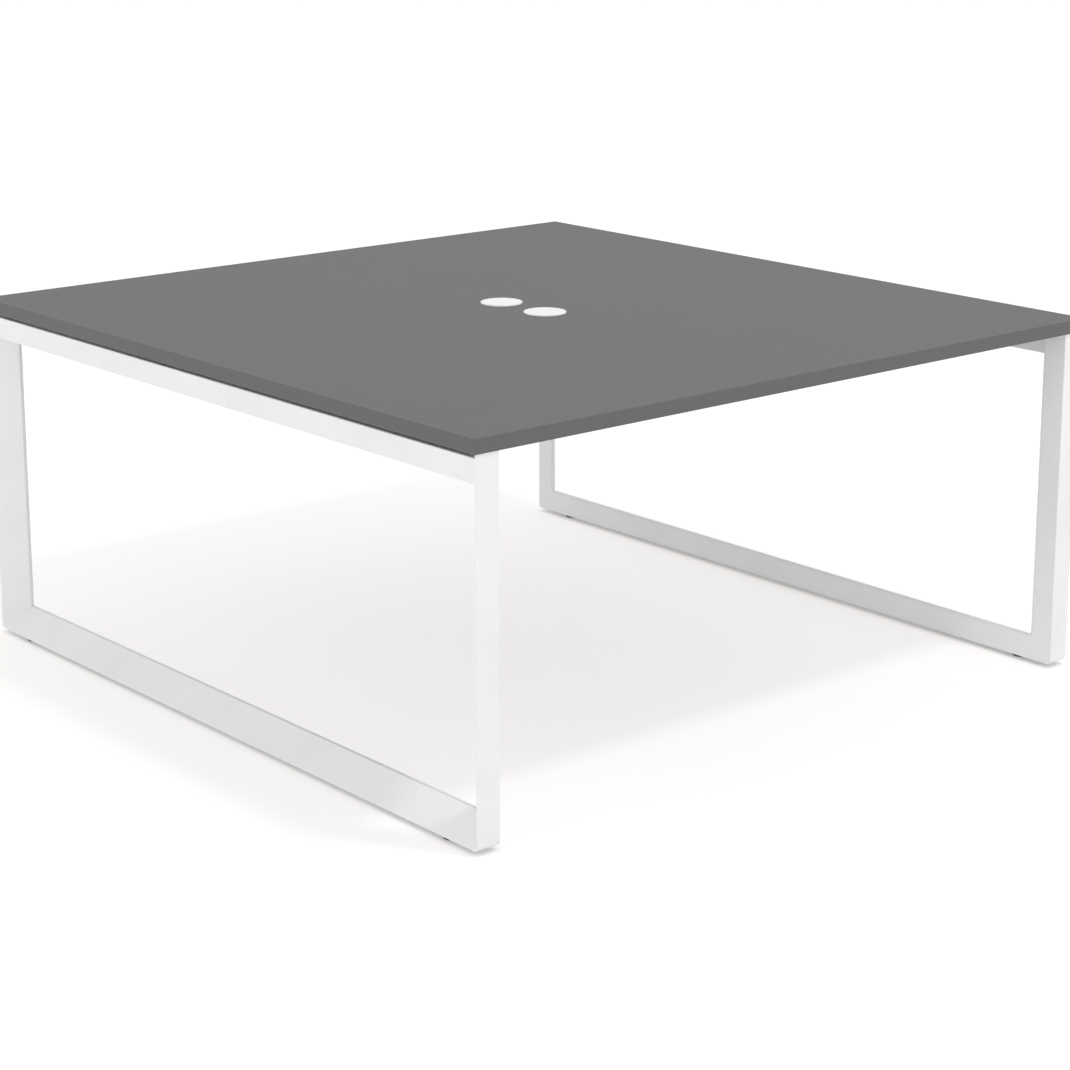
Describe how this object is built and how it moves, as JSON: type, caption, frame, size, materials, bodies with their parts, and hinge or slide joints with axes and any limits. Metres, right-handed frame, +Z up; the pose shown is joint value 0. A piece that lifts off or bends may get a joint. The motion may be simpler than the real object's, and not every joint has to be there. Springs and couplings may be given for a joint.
{
  "type": "conference table",
  "caption": "Square conference table: laminate top with edge bands and cable ports, on closed white steel end frames with levelling feet, joined by beams.",
  "frame": {"origin": "on the floor under the middle of the table top", "axes": "+Z up, X across the two end frames (left frame at -X), Y along the end frames (front at -Y)"},
  "size_m": [1.6, 1.65, 0.7425],
  "materials": {
    "laminate": "fine matt dark grey laminate on particle board",
    "edge_band": "matt dark grey ABS edge band",
    "white_coat": "white powder coat, fine texture, semi-matt",
    "port_plastic": "moulded white plastic, satin",
    "black_plastic": "moulded black plastic, matt",
    "black_rubber": "black rubber, matt",
    "zinc_steel": "bright zinc-plated steel"
  },
  "bodies": {
    "table": {"table_top": "laminate", "edge_band_front": "edge_band", "edge_band_rear": "edge_band", "edge_band_left": "edge_band", "edge_band_right": "edge_band", "left_front_upright": "white_coat", "left_rear_upright": "white_coat", "left_lower_rail": "white_coat", "left_upper_rail": "white_coat", "right_front_upright": "white_coat", "right_rear_upright": "white_coat", "right_lower_rail": "white_coat", "right_upper_rail": "white_coat", "left_front_head_plate": "white_coat", "left_rear_head_plate": "white_coat", "right_front_head_plate": "white_coat", "right_rear_head_plate": "white_coat", "front_beam": "white_coat", "front_beam_left_flange": "white_coat", "front_beam_right_flange": "white_coat", "rear_beam": "white_coat", "rear_beam_left_flange": "white_coat", "rear_beam_right_flange": "white_coat", "flange_bolts": "zinc_steel", "flange_washers": "zinc_steel", "rail_weld_nuts": "zinc_steel", "top_spacers": "black_rubber", "top_screws": "zinc_steel", "top_inserts": "zinc_steel", "foot_bushes": "zinc_steel", "front_port_liner": "port_plastic", "rear_port_liner": "port_plastic"},
    "left_front_pad": {"left_front_foot_pad": "black_plastic"},
    "left_front_stud": {"left_front_foot_stud": "zinc_steel"},
    "left_rear_pad": {"left_rear_foot_pad": "black_plastic"},
    "left_rear_stud": {"left_rear_foot_stud": "zinc_steel"},
    "right_front_pad": {"right_front_foot_pad": "black_plastic"},
    "right_front_stud": {"right_front_foot_stud": "zinc_steel"},
    "right_rear_pad": {"right_rear_foot_pad": "black_plastic"},
    "right_rear_stud": {"right_rear_foot_stud": "zinc_steel"},
    "front_cap": {"front_port_cap": "port_plastic"},
    "rear_cap": {"rear_port_cap": "port_plastic"}
  },
  "joints": [
    {"name": "left_front_foot_height", "type": "slide", "parent": "table", "child": "left_front_pad", "axis": [0, 0, -1], "range_m": [0, 0.01]},
    {"name": "left_front_foot_screw", "type": "hinge", "parent": "left_front_pad", "child": "left_front_stud", "pos_m": [-0.7705, -0.722, 0], "axis": [0, 0, -1], "range_deg": [0, 2880]},
    {"name": "left_rear_foot_height", "type": "slide", "parent": "table", "child": "left_rear_pad", "axis": [0, 0, -1], "range_m": [0, 0.01]},
    {"name": "left_rear_foot_screw", "type": "hinge", "parent": "left_rear_pad", "child": "left_rear_stud", "pos_m": [-0.7705, 0.722, 0], "axis": [0, 0, -1], "range_deg": [0, 2880]},
    {"name": "right_front_foot_height", "type": "slide", "parent": "table", "child": "right_front_pad", "axis": [0, 0, -1], "range_m": [0, 0.01]},
    {"name": "right_front_foot_screw", "type": "hinge", "parent": "right_front_pad", "child": "right_front_stud", "pos_m": [0.7705, -0.722, 0], "axis": [0, 0, -1], "range_deg": [0, 2880]},
    {"name": "right_rear_foot_height", "type": "slide", "parent": "table", "child": "right_rear_pad", "axis": [0, 0, -1], "range_m": [0, 0.01]},
    {"name": "right_rear_foot_screw", "type": "hinge", "parent": "right_rear_pad", "child": "right_rear_stud", "pos_m": [0.7705, 0.722, 0], "axis": [0, 0, -1], "range_deg": [0, 2880]},
    {"name": "front_port_cap_lift", "type": "slide", "parent": "table", "child": "front_cap", "axis": [0, 0, 1], "range_m": [0, 0.04]},
    {"name": "rear_port_cap_lift", "type": "slide", "parent": "table", "child": "rear_cap", "axis": [0, 0, 1], "range_m": [0, 0.04]}
  ],
  "couplings": [
    {"joint": "left_front_foot_height", "follows": "left_front_foot_screw", "m_per_rad": 0.00019894},
    {"joint": "left_rear_foot_height", "follows": "left_rear_foot_screw", "m_per_rad": 0.00019894},
    {"joint": "right_front_foot_height", "follows": "right_front_foot_screw", "m_per_rad": 0.00019894},
    {"joint": "right_rear_foot_height", "follows": "right_rear_foot_screw", "m_per_rad": 0.00019894}
  ]
}
